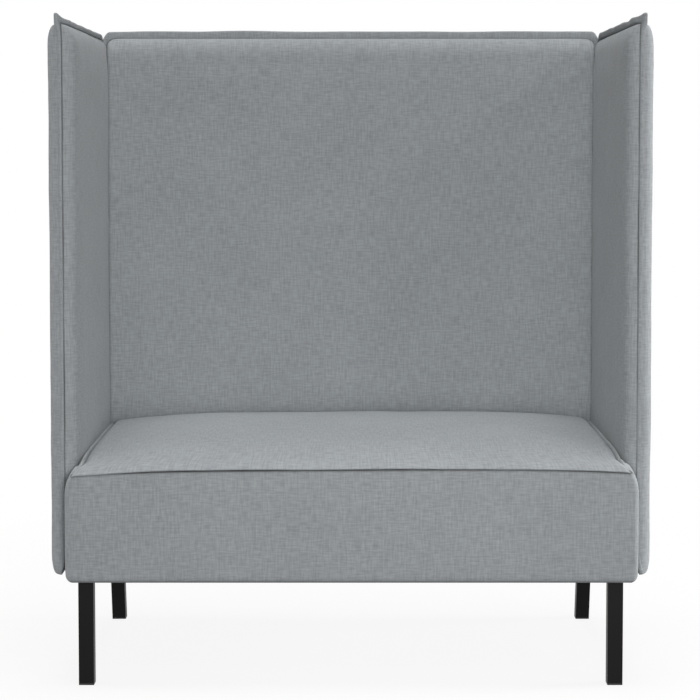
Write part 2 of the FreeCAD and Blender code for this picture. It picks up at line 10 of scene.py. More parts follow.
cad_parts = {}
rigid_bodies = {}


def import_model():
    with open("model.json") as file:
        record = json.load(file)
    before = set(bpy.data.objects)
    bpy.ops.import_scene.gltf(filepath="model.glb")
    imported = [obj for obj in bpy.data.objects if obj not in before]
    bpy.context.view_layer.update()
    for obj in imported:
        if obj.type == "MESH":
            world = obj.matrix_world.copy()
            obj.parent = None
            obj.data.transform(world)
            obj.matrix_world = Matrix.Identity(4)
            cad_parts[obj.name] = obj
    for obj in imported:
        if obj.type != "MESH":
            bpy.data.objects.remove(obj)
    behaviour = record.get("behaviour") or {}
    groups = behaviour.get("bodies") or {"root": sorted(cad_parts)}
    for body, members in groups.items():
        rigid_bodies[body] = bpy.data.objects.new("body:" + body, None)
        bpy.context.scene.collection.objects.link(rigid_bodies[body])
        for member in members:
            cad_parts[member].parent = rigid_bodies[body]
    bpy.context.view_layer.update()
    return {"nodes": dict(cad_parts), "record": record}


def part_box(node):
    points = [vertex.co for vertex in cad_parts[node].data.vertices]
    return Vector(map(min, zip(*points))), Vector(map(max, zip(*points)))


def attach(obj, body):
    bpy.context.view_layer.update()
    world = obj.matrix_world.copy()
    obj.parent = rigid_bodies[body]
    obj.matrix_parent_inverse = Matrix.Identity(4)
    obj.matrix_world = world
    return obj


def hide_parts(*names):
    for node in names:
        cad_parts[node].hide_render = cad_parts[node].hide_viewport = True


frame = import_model()

X, Y, Z = 0, 1, 2

# Sewn pads of the panels
PAD_PITCH = 0.012  # size of the cloth's squares
TUCK_STEPS = 3  # stations from a seam to where the pad's edge is widest
ROUND_STEPS = 6  # stations from there round to the pad's face
PLUMPING = 0.004  # how far the filling swells a panel's face
SWELL_FRAMES = 20
SWELL_PRESSURE = 4.0
SWELL_RUN = 0.10  # how far from its seams a pad swells freely
PANEL_HOLLOWS = (0.0014, 0.16)  # height and reach of the hollows in a panel's cover
SEAT_HOLLOWS = (0.0018, 0.18)
BACK_CORNER = 0.020  # round of the back pads' upper corners
INNER_FOOT = 0.010  # how far a side panel's inner pad hangs below the CAD cover's foot
OUTER_FOOT = 0.018  # the same for its outer pad
WELT_OVERLAP = 0.003  # how far the outer padding closes over the welt's rounded edge
FRONT_FILL = 0.010  # how far the side panels' padding swells towards the front welt
PANEL_SHADE = 0.4  # how dark the shade painted into the panels' seams is, the seat's being 1
BACK_PRESS = 0.004  # how far the back's padding presses into the side panels

# Seat
BORDER_HEIGHT = 0.225  # underside to the seam at the front corners
SEAM_ARCH = 0.011  # how far the front seam rises in the middle
SEAM_RISE = 0.024  # how far the side seams rise to the rear
SEAM_RISE_RUN = 0.055  # how far behind the front the seam has mostly risen
SEAM_TILT = 0.0032  # how far the seam's right end is higher than its middle
SEAT_EDGE_LIFT = 0.009  # height of the seat's top above its seam, near the edge
SEAT_CROWN = 0.026  # further height in the middle
SIDE_RIDGE = 0.010  # width of the border's fold beside the seat's top
RIGHT_FILL = 0.004  # how much fuller the seat front is on the right
TOP_DRAW = 0.012  # how far the seat front's sides draw in up to the seam
NOSE_FILL = 0.0115  # how far the seat front's padding swells sideways
FRONT_SWELL = 0.004  # how far the seat front's middle bulges forward
SWELL_BEHIND = 0.05  # how far behind the front that bulge runs out
FRONT_CORNER = 0.012
HEM_ROUND = 0.012
RIM_ROUND = 0.004  # round of the border's upper edge at the seam
BORDER_PITCH = 0.020  # spacing of the border's cuts
SEAM_PINCH = 0.010  # how far behind the front the side folds begin
FOLD_RUN = 0.050  # and over how far they reach their full height
FOLD_FROM = 0.540  # how far from the middle the border is cut finely for its folds
FOLD_HEIGHT = 0.008
GROOVE_DEPTH = 0.003

# Welts
EAR = 0.006  # how far a welt's corner sticks out
EAR_RUN = 0.051
EAR_LEAN_RUN = 0.07  # how far behind the front an ear leans out
WELT_STRIP = 0.030  # width of a side panel's welt, most of it between the pads
BACK_STRIP = 0.032  # the same for the back's welt
BACK_STRIP_CORNER = 0.006
WELT_PITCH = 0.014  # spacing of a welt's cuts
FINE_PITCH = 0.003  # the same where a welt or the border bends closely
ROLL = 0.006  # how far a side panel's top strip rolls over the inner pad
STRIP_LIFT = {"left": 0.0, "right": 0.004}  # how high each top strip stands up
FRONT_LIFT = 0.005  # the same at the front ears


# Working by hand in edit mode


def add_piece(name, primitive, **size):
    """A primitive at its size and place, with the place in its mesh."""
    bpy.ops.object.select_all(action="DESELECT")
    primitive(**size)
    piece = bpy.context.object
    piece.name = piece.data.name = name
    bpy.ops.object.transform_apply(location=True, rotation=True, scale=True)
    return piece


def add_block(name, low, high):
    middle = (Vector(low) + Vector(high)) / 2
    span = Vector(high) - Vector(low)
    return add_piece(name, bpy.ops.mesh.primitive_cube_add, size=1, location=middle, scale=span)


def select_where(kind, test):
    """Selects only the vertices, edges or faces that pass a test."""
    bpy.ops.mesh.select_mode(type=kind)
    bpy.ops.mesh.select_all(action="DESELECT")
    mesh = bpy.context.object.data
    shell = bmesh.from_edit_mesh(mesh)
    shell.normal_update()
    for part in {"VERT": shell.verts, "EDGE": shell.edges, "FACE": shell.faces}[kind]:
        if test(part):
            part.select_set(True)
    shell.select_flush_mode()
    bmesh.update_edit_mesh(mesh)


def edge_middle(edge):
    return (edge.verts[0].co + edge.verts[1].co) / 2


def edge_runs(edge, axis):
    way = edge.verts[1].co - edge.verts[0].co
    return abs(way[axis]) > 0.999 * way.length


def cut_across(axis, low, high, pitch):
    """Cuts the whole piece at even steps along an axis."""
    count = max(1, round((high - low) / pitch))
    normal = [0.0, 0.0, 0.0]
    normal[axis] = 1.0
    for step in range(1, count):
        place = [0.0, 0.0, 0.0]
        place[axis] = low + (high - low) * step / count
        bpy.ops.mesh.select_all(action="SELECT")
        bpy.ops.mesh.bisect(plane_co=place, plane_no=normal)


def smooth_by_subdivision(piece, levels):
    """Subdivides a piece for good and shades it smooth."""
    bpy.ops.object.select_all(action="DESELECT")
    piece.select_set(True)
    bpy.context.view_layer.objects.active = piece
    smoother = piece.modifiers.new("smooth", "SUBSURF")
    smoother.levels = smoother.render_levels = levels
    bpy.ops.object.modifier_apply(modifier=smoother.name)
    bpy.ops.object.shade_smooth()


def weave_by_face(piece):
    """Lays the weave flat on each face, along the two axes that the face runs in, in metres."""
    mesh = piece.data
    layer = mesh.uv_layers.get("weave") or mesh.uv_layers.new(name="weave")
    for face in mesh.polygons:
        steepest = max(range(3), key=lambda axis: abs(face.normal[axis]))
        across, along = [(Y, Z), (X, Z), (X, Y)][steepest]
        for corner in face.loop_indices:
            point = mesh.vertices[mesh.loops[corner].vertex_index].co
            layer.data[corner].uv = (point[across], point[along])


# Sewn pads


def ease(value):
    """A smooth step from 0 to 1."""
    value = min(1.0, max(0.0, value))
    return value * value * (3 - 2 * value)


def seam_to_face(rounding, tuck, widest):
    """Steps from a seam over a rounded edge.

    Each is the distance from the padded edge and the share of the pad's thickness.
    """
    steps = []
    for step in range(TUCK_STEPS):
        turn = math.pi / 2 * step / TUCK_STEPS
        steps.append((tuck * (1 - math.sin(turn)), widest * (1 - math.cos(turn))))
    for step in range(ROUND_STEPS + 1):
        turn = math.pi / 2 * step / ROUND_STEPS
        share = widest + (1 - widest) * math.sin(turn)
        steps.append((rounding * (1 - math.cos(turn)), share))
    return steps


def stations(low, high, low_edge, high_edge):
    """Places across a pad from seam to seam, each with its share of the pad's thickness.

    An edge is its rounding, how far its seam is tucked in, and the share where it is widest.
    """
    first = [(low + inset, share) for inset, share in seam_to_face(*low_edge)]
    last = [(high - inset, share) for inset, share in seam_to_face(*high_edge)]
    start, end = first[-1][0], last[-1][0]
    count = round((end - start) / PAD_PITCH)
    between = [(start + (end - start) * step / count, 1.0) for step in range(1, count)]
    return first + between + last[::-1]


def cloth_lengths(steps, thickness):
    """Length of the cloth from the first seam to each station."""
    lengths = [0.0]
    for (place, share), (next_place, next_share) in zip(steps, steps[1:]):
        lengths.append(
            lengths[-1] + math.hypot(next_place - place, (next_share - share) * thickness)
        )
    return lengths


def paint_shade(mesh, shares):
    """Notes on each point how much shade to paint into the fabric's colour, where it lies in a sewn
    crease.
    """
    painted_shade = mesh.attributes.new("painted_shade", "FLOAT", "POINT")
    for spot, share in zip(painted_shade.data, shares):
        spot.value = share


def sew_pad(name, across, up, thickness, place, outward, shade_strength):
    """A cover cut as a flat grid, put in place station by station, with its face outward.

    Returns the piece, the points on its seams and how freely each point may swell.
    """
    columns, rows = len(across), len(up)
    piece = add_piece(
        name,
        bpy.ops.mesh.primitive_grid_add,
        x_subdivisions=columns - 1,
        y_subdivisions=rows - 1,
        size=2,
    )
    mesh = piece.data
    spots = []
    for point in mesh.vertices:
        column = round((point.co.x + 1) / 2 * (columns - 1))
        row = round((point.co.y + 1) / 2 * (rows - 1))
        spots.append((column, row))
    across_lengths = cloth_lengths(across, thickness)
    up_lengths = cloth_lengths(up, thickness)
    layer = mesh.uv_layers[0]
    layer.name = "weave"
    for corner in mesh.loops:
        column, row = spots[corner.vertex_index]
        layer.data[corner.index].uv = (across_lengths[column], up_lengths[row])
    for point, (column, row) in zip(mesh.vertices, spots):
        point.co = place(across[column], up[row])
    sewn = [
        index
        for index, (column, row) in enumerate(spots)
        if column in (0, columns - 1) or row in (0, rows - 1)
    ]
    steps_in = [
        min(column, columns - 1 - column, row, rows - 1 - row) for column, row in spots
    ]
    # painted shade: the tuck steps at the seams are darkened in colour, as the shade in a sewn
    # crease
    paint_shade(mesh, [shade_strength if steps < TUCK_STEPS else 0.0 for steps in steps_in])
    give = []
    for column, row in spots:
        sideways, height = across[column][0], up[row][0]
        inset = min(
            sideways - across[0][0],
            across[-1][0] - sideways,
            height - up[0][0],
            up[-1][0] - height,
        )
        give.append(ease(inset / SWELL_RUN))
    mesh.update()
    facing = sum((face.normal * face.area for face in mesh.polygons), Vector((0, 0, 0)))
    if facing.dot(outward) < 0:
        mesh.flip_normals()
    return piece, sewn, give


def close_seam(piece):
    """Closes a pad along its seam, behind its cover."""
    bpy.ops.object.mode_set(mode="EDIT")
    bpy.ops.mesh.select_mode(type="EDGE")
    bpy.ops.mesh.select_all(action="DESELECT")
    bpy.ops.mesh.select_non_manifold()
    bpy.ops.mesh.edge_face_add()
    bpy.ops.mesh.quads_convert_to_tris()
    bpy.ops.mesh.select_all(action="SELECT")
    bpy.ops.mesh.normals_make_consistent(inside=False)
    bpy.ops.object.mode_set(mode="OBJECT")


def plump(piece, sewn, give):
    """Swells a sewn pad with its filling, freely on its face and hardly near its seams."""
    scene = bpy.context.scene
    group = piece.vertex_groups.new(name="sewn")
    group.add(sewn, 1.0, "REPLACE")
    cloth = piece.modifiers.new("filling", "CLOTH")
    cloth.settings.vertex_group_mass = group.name
    cloth.settings.use_pressure = True
    cloth.settings.uniform_pressure_force = SWELL_PRESSURE
    cloth.settings.effector_weights.gravity = 0
    cloth.point_cache.frame_start = 1
    cloth.point_cache.frame_end = SWELL_FRAMES
    for number in range(1, SWELL_FRAMES + 1):
        scene.frame_set(number)
    swollen = piece.evaluated_get(bpy.context.evaluated_depsgraph_get()).data
    moves = [new.co - old.co for new, old in zip(swollen.vertices, piece.data.vertices)]
    piece.modifiers.remove(cloth)
    piece.vertex_groups.remove(group)
    scene.frame_set(1)
    for point, move, share in zip(piece.data.vertices, moves, give):
        if move.length > 0:
            reach = PLUMPING * share * math.tanh(move.length / PLUMPING)
            point.co += move.normalized() * reach


def finish_pad(piece, nodes):
    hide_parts(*nodes)
    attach(piece, "root")


def panel_place(across_axis, through_axis, base, thickness, spans, corner):
    """Sets a pad's stations in an upright panel, with its upper corners cut round."""
    (left, right), (_, top) = spans
    middle, half = (left + right) / 2, (right - left) / 2

    def place(across, up):
        sideways, height = across[0] - middle, up[0]
        beyond = abs(sideways) - (half - corner)
        above = height - (top - corner)
        if beyond > 0 and above > 0:
            shrink = max(beyond, above) / math.hypot(beyond, above)
            sideways = math.copysign(half - corner + beyond * shrink, sideways)
            height = top - corner + above * shrink
        point = Vector((0, 0, height))
        point[across_axis] = middle + sideways
        point[through_axis] = base + thickness * across[1] * up[1]
        return point

    return place


def soften(piece, through_axis, size, reach):
    """Slight hollows and rises that a hand-filled cover has, across one axis."""
    for point in piece.data.vertices:
        x, y, z = point.co
        broad = noise.noise(Vector((x, y, z)) / reach)
        small = noise.noise(Vector((x, y, z)) / (reach * 0.3) + Vector((7, 3, 5)))
        point.co[through_axis] += size * (broad + 0.35 * small)


def panel_pad(name, nodes, across_axis, through_axis, base, face, spans, edges, corner=0.001):
    """One face of a panel: its cover from the welt's plane out to the face."""
    (left, right), (bottom, top) = spans
    left_edge, right_edge, bottom_edge, top_edge = edges
    thickness = face - base - math.copysign(PLUMPING, face - base)
    across = stations(left, right, left_edge, right_edge)
    up = stations(bottom, top, bottom_edge, top_edge)
    place = panel_place(across_axis, through_axis, base, thickness, spans, corner)
    outward = Vector((0, 0, 0))
    outward[through_axis] = thickness
    piece, sewn, give = sew_pad(
        name, across, up, abs(thickness), place, outward, PANEL_SHADE
    )
    plump(piece, sewn, give)
    soften(piece, through_axis, *PANEL_HOLLOWS)
    smooth_by_subdivision(piece, 1)
    close_seam(piece)
    finish_pad(piece, nodes)


def side_pads(prefix, sign):
    """The inner and the outer pad of a side panel, full up to the welt along the front.

    Their edges are, in order: front, rear, bottom and top.
    """
    welt_low, welt_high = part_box(f"{prefix}_welt")
    low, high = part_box(f"{prefix}_inner_cover")
    outer_low, outer_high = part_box(f"{prefix}_outer_cover")
    welt_inner, welt_outer = (welt_low.x, welt_high.x)[::sign]
    inner_face = (low.x, high.x)[::sign][0]
    outer_face = (outer_low.x, outer_high.x)[::sign][1]
    front, top = low.y - FRONT_FILL, high.z - 0.002
    spans = ((front, high.y), (low.z - INNER_FOOT, top))
    blunt = (0.008, 0.002, 0.8)
    inner_edges = ((0.030, 0.003, 0.10), blunt, (0.030, 0.004, 0.3), (0.042, 0.003, 0.15))
    nodes = (f"{prefix}_inner_cover", f"{prefix}_inner_foam")
    panel_pad(f"{prefix}_inner_pad", nodes, Y, X, welt_inner, inner_face, spans, inner_edges)
    upright = (0.026, 0.001, 0.04)
    outer_edges = (upright, upright, (0.042, 0.001, 0.60), (0.042, 0.001, 0.40))
    spans = ((front - 0.001, high.y + 0.004), (low.z - OUTER_FOOT, top))
    nodes = (f"{prefix}_outer_cover", f"{prefix}_outer_foam")
    base = welt_outer - sign * WELT_OVERLAP
    panel_pad(f"{prefix}_outer_pad", nodes, Y, X, base, outer_face, spans, outer_edges)


def back_pads():
    """The two pads of the back, pressed against the side panels.

    Their edges are, in order: left, right, bottom and top.
    """
    welt_low, welt_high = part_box("back_welt")
    low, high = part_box("back_front_cover")
    rear_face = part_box("back_rear_cover")[1].y
    half = welt_high.x + BACK_PRESS
    spans = ((-half, half), (low.z, high.z + 0.0045))
    side = (0.010, 0.002, 0.8)
    edges = (side, side, (0.030, 0.004, 0.3), (0.046, 0.005, 0.25))
    nodes = ("back_front_cover", "back_front_foam")
    panel_pad("back_front_pad", nodes, X, Y, welt_low.y, low.y, spans, edges, BACK_CORNER)
    nodes = ("back_rear_cover", "back_rear_foam")
    panel_pad("back_rear_pad", nodes, X, Y, welt_high.y, rear_face, spans, edges, BACK_CORNER)


# Welts


def welt_ring(name, node, through, width, corner):
    """A flat strip of doubled fabric that stands out all round a panel."""
    low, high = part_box(node)
    middle = (low + high) / 2
    piece = add_block(name, low, high)
    bpy.ops.object.mode_set(mode="EDIT")
    select_where("FACE", lambda face: abs(face.normal[through]) > 0.9)
    bpy.ops.mesh.inset(thickness=width)
    bpy.ops.mesh.bridge_edge_loops()
    if corner > 0:
        across = X + Y - through
        select_where(
            "EDGE",
            lambda edge: edge_runs(edge, through)
            and abs(abs(edge_middle(edge)[across]) - high[across]) < 1e-5,
        )
        bpy.ops.mesh.bevel(offset=corner, segments=6, affect="EDGES")

    def on_rim(edge):
        flat = [face for face in edge.link_faces if abs(face.normal[through]) > 0.9]
        wall = [face for face in edge.link_faces if abs(face.normal[through]) < 0.1]
        if len(flat) != 1 or len(wall) != 1:
            return False
        return wall[0].normal.dot(edge_middle(edge) - middle) > 0

    select_where("EDGE", on_rim)
    bpy.ops.mesh.bevel(offset=(high[through] - low[through]) * 0.4, segments=3, affect="EDGES")
    for axis in (X, Y, Z):
        if axis != through:
            cut_across(axis, low[axis], high[axis], WELT_PITCH)
    bpy.ops.object.mode_set(mode="OBJECT")
    return piece


def finish_welt(piece, node):
    smooth_by_subdivision(piece, 1)
    weave_by_face(piece)
    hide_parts(node)
    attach(piece, "root")


def side_welt(prefix, sign):
    """A side panel's welt: ears at the front, a top strip that leans inward towards the back."""
    node = f"{prefix}_welt"
    low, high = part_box(node)
    pad_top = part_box(f"{prefix}_inner_cover")[1].z
    piece = welt_ring(f"{prefix}_welt_fold", node, X, WELT_STRIP, 0)
    bpy.ops.object.mode_set(mode="EDIT")
    cut_across(Z, pad_top - 0.006, high.z - 0.004, FINE_PITCH)
    bpy.ops.object.mode_set(mode="OBJECT")
    middle = (low.x + high.x) / 2
    for point in piece.data.vertices:
        x, y, z = point.co
        front_gap, rear_gap = y - low.y, high.y - y
        low_gap, top_gap = z - low.z, high.z - z
        end_gap, edge_gap = min(low_gap, top_gap), min(front_gap, rear_gap)
        at_front = max(0.0, 1 - front_gap / EAR_RUN) ** 2
        upright_ear = 0.0
        if front_gap < rear_gap:
            upright_ear = max(0.0, 1 - end_gap / EAR_RUN) ** 2
        inward = 1 if low_gap < top_gap else -1
        point.co.z += inward * EAR * (1 - at_front) * max(0.0, 1 - end_gap / WELT_STRIP)
        inward = 1 if front_gap < rear_gap else -1
        point.co.y += inward * EAR * (1 - upright_ear) * max(0.0, 1 - edge_gap / WELT_STRIP)
        stands = ease((z - pad_top + 0.006) / 0.020)
        back = (y - low.y) / (high.y - low.y)
        lean_in = 0.012 * max(0.0, back) ** 1.5
        ear = max(0.0, 1 - front_gap / EAR_LEAN_RUN) ** 2
        lean_out = 0.006 * ear * ease((z - pad_top + 0.020) / 0.020)
        lean_out += 0.008 * ear * ease((low.z + 0.030 - z) / 0.030)
        ripple = noise.noise(Vector((y * 16, sign * 3.0, 0))) * 0.003
        point.co.x -= sign * (stands * (lean_in + ripple) - lean_out)
        if sign * (x - middle) < 0:
            rolled = ease((z - pad_top - 0.002) / 0.003) * ease(front_gap / 0.05)
            point.co.x -= sign * ROLL * rolled
        lift = STRIP_LIFT[prefix] + (FRONT_LIFT - STRIP_LIFT[prefix]) * at_front
        wave = noise.noise(Vector((y * 11, 5.0, sign * 2.0))) * 0.003
        point.co.z += stands * (lift + wave * ease(front_gap / 0.16))
        point.co.z -= stands * (0.004 * back + 0.018 * ease((y - 0.285) / 0.035))
    finish_welt(piece, node)


def back_welt():
    """The back's welt, whose top corners splay out over the side panels' padding."""
    low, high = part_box("back_welt")
    pad_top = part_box("back_front_cover")[1].z
    piece = welt_ring("back_welt_fold", "back_welt", Y, BACK_STRIP, BACK_STRIP_CORNER)
    for point in piece.data.vertices:
        x, y, z = point.co
        outward = ease((abs(x) - 0.540) / (high.x - 0.545))
        fall = min(1.0, max(0.0, (high.z - z) / (high.z - pad_top)))
        under = ease((z - pad_top + 0.050) / 0.030)
        point.co.x += math.copysign((0.006 + 0.015 * fall) * outward * under, x)
        stands = ease((z - pad_top + 0.004) / 0.018)
        point.co.z += stands * noise.noise(Vector((x * 6, 2.0, 9.0))) * 0.004
        point.co.y += stands * noise.noise(Vector((x * 9, 6.0, 1.0))) * 0.003
    finish_welt(piece, "back_welt")


# Seat

border_low, border_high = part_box("seat_border_cover")
seat_front, seat_rear = border_low.y, border_high.y
seat_underside = border_low.z
nose_half = border_high.x + NOSE_FILL
body_half = -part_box("left_inner_cover")[1].x
nose_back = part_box("left_inner_cover")[0].y - FRONT_FILL - 0.002


def seat_share(y):
    return (y - seat_front) / (seat_rear - seat_front)


def seam_height(x, y):
    """Height of the seam between the seat's border and its top."""
    back = seat_share(y)
    sideways = min(1.0, abs(x) / nose_half)
    arch = SEAM_ARCH * (1 - sideways**4) * max(0.0, 1 - back)
    tilt = SEAM_TILT * x / nose_half
    rise = SEAM_RISE * (1 - math.exp(-max(0.0, y - seat_front - SEAM_PINCH) / SEAM_RISE_RUN))
    return seat_underside + BORDER_HEIGHT + rise + arch + tilt


def seat_half_width(y):
    """Half the seat's width at its seam."""
    behind = ease((y - seat_front) / (nose_back - seat_front))
    return nose_half - TOP_DRAW + (body_half - nose_half + TOP_DRAW) * behind


def crown_height(x, y):
    """Height of the seat's top, away from its seams."""
    back = max(0.0, seat_share(y))
    sideways = min(1.0, abs(x) / nose_half)
    swell = SEAT_CROWN * (1 - math.exp(-back / 0.30)) * (1 - sideways**4)
    return seam_height(x, y) + SEAT_EDGE_LIFT + swell


def seat_border():
    """The seat's front and sides, with a fold and a groove beside the top, and a hem below."""
    top = seat_underside + BORDER_HEIGHT
    front = seat_front + FRONT_SWELL
    low = (-nose_half, front, seat_underside)
    piece = add_block("seat_border_pad", low, (nose_half, nose_back, top))
    bpy.ops.object.mode_set(mode="EDIT")
    select_where("FACE", lambda face: face.normal.y > 0.9)
    bpy.ops.mesh.extrude_region_move(TRANSFORM_OT_translate={"value": (0, 0, 0)})
    bpy.ops.transform.resize(value=(body_half / nose_half, 1, 1))
    bpy.ops.mesh.extrude_region_move(
        TRANSFORM_OT_translate={"value": (0, seat_rear - nose_back, 0)}
    )
    select_where(
        "EDGE", lambda edge: edge_runs(edge, Z) and edge_middle(edge).y < front + 1e-4
    )
    bpy.ops.mesh.bevel(offset=FRONT_CORNER, segments=5, affect="EDGES")
    select_where(
        "EDGE",
        lambda edge: all(abs(end.co.z - seat_underside) < 1e-5 for end in edge.verts)
        and edge_middle(edge).y < nose_back - 1e-4,
    )
    bpy.ops.mesh.bevel(offset=HEM_ROUND, segments=4, affect="EDGES")
    select_where(
        "EDGE",
        lambda edge: all(abs(end.co.z - top) < 1e-5 for end in edge.verts)
        and len(edge.link_faces) == 2
        and min(abs(face.normal.z) for face in edge.link_faces) < 0.1,
    )
    bpy.ops.mesh.bevel(offset=RIM_ROUND, segments=3, affect="EDGES")
    cut_across(X, -nose_half, nose_half, BORDER_PITCH)
    for side in (-1, 1):
        cut_across(X, side * FOLD_FROM, side * nose_half, side * FINE_PITCH)
    cut_across(Y, front, seat_rear, BORDER_PITCH)
    cut_across(Z, seat_underside, top, 0.016)
    bpy.ops.object.mode_set(mode="OBJECT")
    painted_shades = []
    for point in piece.data.vertices:
        x, y, z = point.co
        # painted shade: the fabric's colour darkens at the seam line along the top of the front,
        # and along the hem's underside
        painted_shade = ease((z - top + 0.0030) / 0.0020) if y < front + 0.012 else 0.0
        painted_shade = max(painted_shade, 0.5 * ease((seat_underside + 0.008 - z) / 0.007))
        rise = (z - seat_underside) / BORDER_HEIGHT
        sideways = abs(x) / nose_half
        if y < nose_back + 1e-4:
            behind = ease((y - front) / (nose_back - front))
            top_draw = (TOP_DRAW + 0.006 * behind) * max(0.0, (rise - 0.84) / 0.16) ** 2
            foot_draw = 0.005 * max(0.0, (0.12 - rise) / 0.12) ** 2
            point.co.x -= math.copysign(top_draw + foot_draw, x) * min(1.0, sideways) ** 8
            x = point.co.x
            if x > 0:
                point.co.x += RIGHT_FILL * sideways**8
        ahead = max(0.0, 1 - (y - front) / SWELL_BEHIND)
        bulge = math.sin(math.pi * min(1.0, max(0.0, rise))) ** 0.5
        point.co.y -= FRONT_SWELL * (1 - sideways**2) * bulge * ahead
        point.co.z = seat_underside + rise * (seam_height(x, y) - seat_underside)
        if rise > 0.5:
            from_rim = (seat_half_width(y) - abs(x)) / SIDE_RIDGE
            fold = max(0.0, 1 - ((from_rim - 0.45) / 0.6) ** 2)
            groove = max(0.0, 1 - ((from_rim - 1.25) / 0.35) ** 2)
            behind = ease((y - seat_front - SEAM_PINCH) / FOLD_RUN)
            point.co.z += behind * (FOLD_HEIGHT * fold - GROOVE_DEPTH * groove) * rise**8
            # painted shade in the groove beside the seat's top
            painted_shade = max(painted_shade, behind * groove * ease((rise - 0.98) / 0.02))
        point.co.z -= 0.003 * ahead * (1 - min(1.0, rise)) ** 4
        painted_shades.append(painted_shade)
    paint_shade(piece.data, painted_shades)
    weave_by_face(piece)
    smooth_by_subdivision(piece, 1)
    finish_pad(piece, ("seat_border_cover",))


def seat_top():
    """The seat's padded top, drawn in along its sides for the border's fold."""
    side_edge = (0.018, 0.004, 0.35)
    front_edge, rear_edge = (0.026, 0.016, 0.3), (0.020, 0.005, 0.3)
    across = stations(-body_half, body_half, side_edge, side_edge)
    along = stations(seat_front + 0.003, seat_rear, front_edge, rear_edge)

    def place(sideways, back):
        y = back[0]
        ridge = SIDE_RIDGE * (0.3 + 0.9 * ease((y - seat_front - SEAM_PINCH) / FOLD_RUN))
        x = sideways[0] * (seat_half_width(y) - ridge) / body_half
        base = seam_height(x, y) - 0.002
        share = sideways[1] * back[1]
        z = base + share * (crown_height(x, y) - base)
        ahead = max(0.0, 1 - (y - seat_front) / SWELL_BEHIND)
        return Vector((x, y - 0.002 * (1 - (x / nose_half) ** 2) * ahead, z))

    piece, sewn, give = sew_pad(
        "seat_top_pad", across, along, SEAT_EDGE_LIFT, place, Vector((0, 0, 1)), 1.0
    )
    plump(piece, sewn, give)
    soften(piece, Z, *SEAT_HOLLOWS)
    smooth_by_subdivision(piece, 1)
    close_seam(piece)
    finish_pad(piece, ("seat_top_cover", "seat_foam"))


for prefix, sign in (("left", -1), ("right", 1)):
    side_pads(prefix, sign)
    side_welt(prefix, sign)
back_pads()
back_welt()
seat_border()
seat_top()


# Finishes

THREAD_PITCH = 0.0016


def new_finish(name):
    """A material with its shader, and short ways to add and join nodes."""
    material = bpy.data.materials.new(name)
    material.use_nodes = True
    tree = material.node_tree
    shader = tree.nodes["Principled BSDF"]

    def add(kind, **settings):
        node = tree.nodes.new(kind)
        for key, value in settings.items():
            setattr(node, key, value)
        return node

    def join(source, target):
        tree.links.new(source, target)

    return material, shader, add, join


def math_node(add, join, operation, *values):
    node = add("ShaderNodeMath", operation=operation)
    for socket, value in zip(node.inputs, values):
        if isinstance(value, (int, float)):
            socket.default_value = value
        else:
            join(value, socket)
    return node.outputs[0]


def woven_fabric(name, shade):
    """A grey melange cloth: uneven warp and weft threads, a plain weave, and shade painted into the
    sewn creases.
    """
    material, shader, add, join = new_finish(name)
    weave = add("ShaderNodeUVMap", uv_map="weave").outputs["UV"]

    def threads(stretch, offset):
        mapping = add("ShaderNodeMapping")
        mapping.inputs["Scale"].default_value = stretch
        mapping.inputs["Location"].default_value = offset
        join(weave, mapping.inputs["Vector"])
        grain = add("ShaderNodeTexNoise", noise_dimensions="2D")
        grain.inputs["Scale"].default_value = 1.0
        grain.inputs["Detail"].default_value = 2.0
        join(mapping.outputs[0], grain.inputs["Vector"])
        return grain.outputs["Fac"]

    warp = threads((270, 32, 1), (3.1, 7.7, 0))
    weft = threads((40, 300, 1), (11.3, 1.9, 0))
    broad = threads((7, 7, 1), (2.3, 4.1, 0))
    mixed = math_node(add, join, "ADD", warp, weft)
    tone = math_node(add, join, "MULTIPLY_ADD", broad, 0.25, mixed)
    spread = add("ShaderNodeMapRange")
    spread.inputs["From Min"].default_value = 0.55
    spread.inputs["From Max"].default_value = 1.70
    join(tone, spread.inputs["Value"])
    blend = add("ShaderNodeMix", data_type="RGBA")
    blend.inputs["A"].default_value = (*[channel * 0.77 for channel in shade], 1)
    blend.inputs["B"].default_value = (*[channel * 1.23 for channel in shade], 1)
    join(spread.outputs[0], blend.inputs["Factor"])
    # painted shade: the colour darkens towards a fifth of itself where the point's attribute marks
    # shade at seams, groove and hem
    painted_shade = add("ShaderNodeAttribute", attribute_name="painted_shade").outputs["Fac"]
    darkened = add("ShaderNodeMix", data_type="RGBA")
    darkened.inputs["B"].default_value = (*[channel * 0.2 for channel in shade], 1)
    join(math_node(add, join, "MULTIPLY", painted_shade, 0.85), darkened.inputs["Factor"])
    join(blend.outputs["Result"], darkened.inputs["A"])
    join(darkened.outputs["Result"], shader.inputs["Base Color"])

    parts = add("ShaderNodeSeparateXYZ")
    join(weave, parts.inputs[0])
    turns = math.pi / THREAD_PITCH
    over, under = [
        math_node(add, join, "SINE", math_node(add, join, "MULTIPLY", parts.outputs[way], turns))
        for way in (X, Y)
    ]
    crossing = math_node(add, join, "MULTIPLY", over, under)
    height = math_node(add, join, "MULTIPLY_ADD", crossing, 0.35, mixed)
    bump = add("ShaderNodeBump")
    bump.inputs["Strength"].default_value = 0.35
    bump.inputs["Distance"].default_value = 0.0006
    join(height, bump.inputs["Height"])
    join(bump.outputs[0], shader.inputs["Normal"])
    shader.inputs["Roughness"].default_value = 0.92
    shader.inputs["Specular IOR Level"].default_value = 0.2
    shader.inputs["Sheen Weight"].default_value = 0.12
    shader.inputs["Sheen Roughness"].default_value = 0.5
    return material


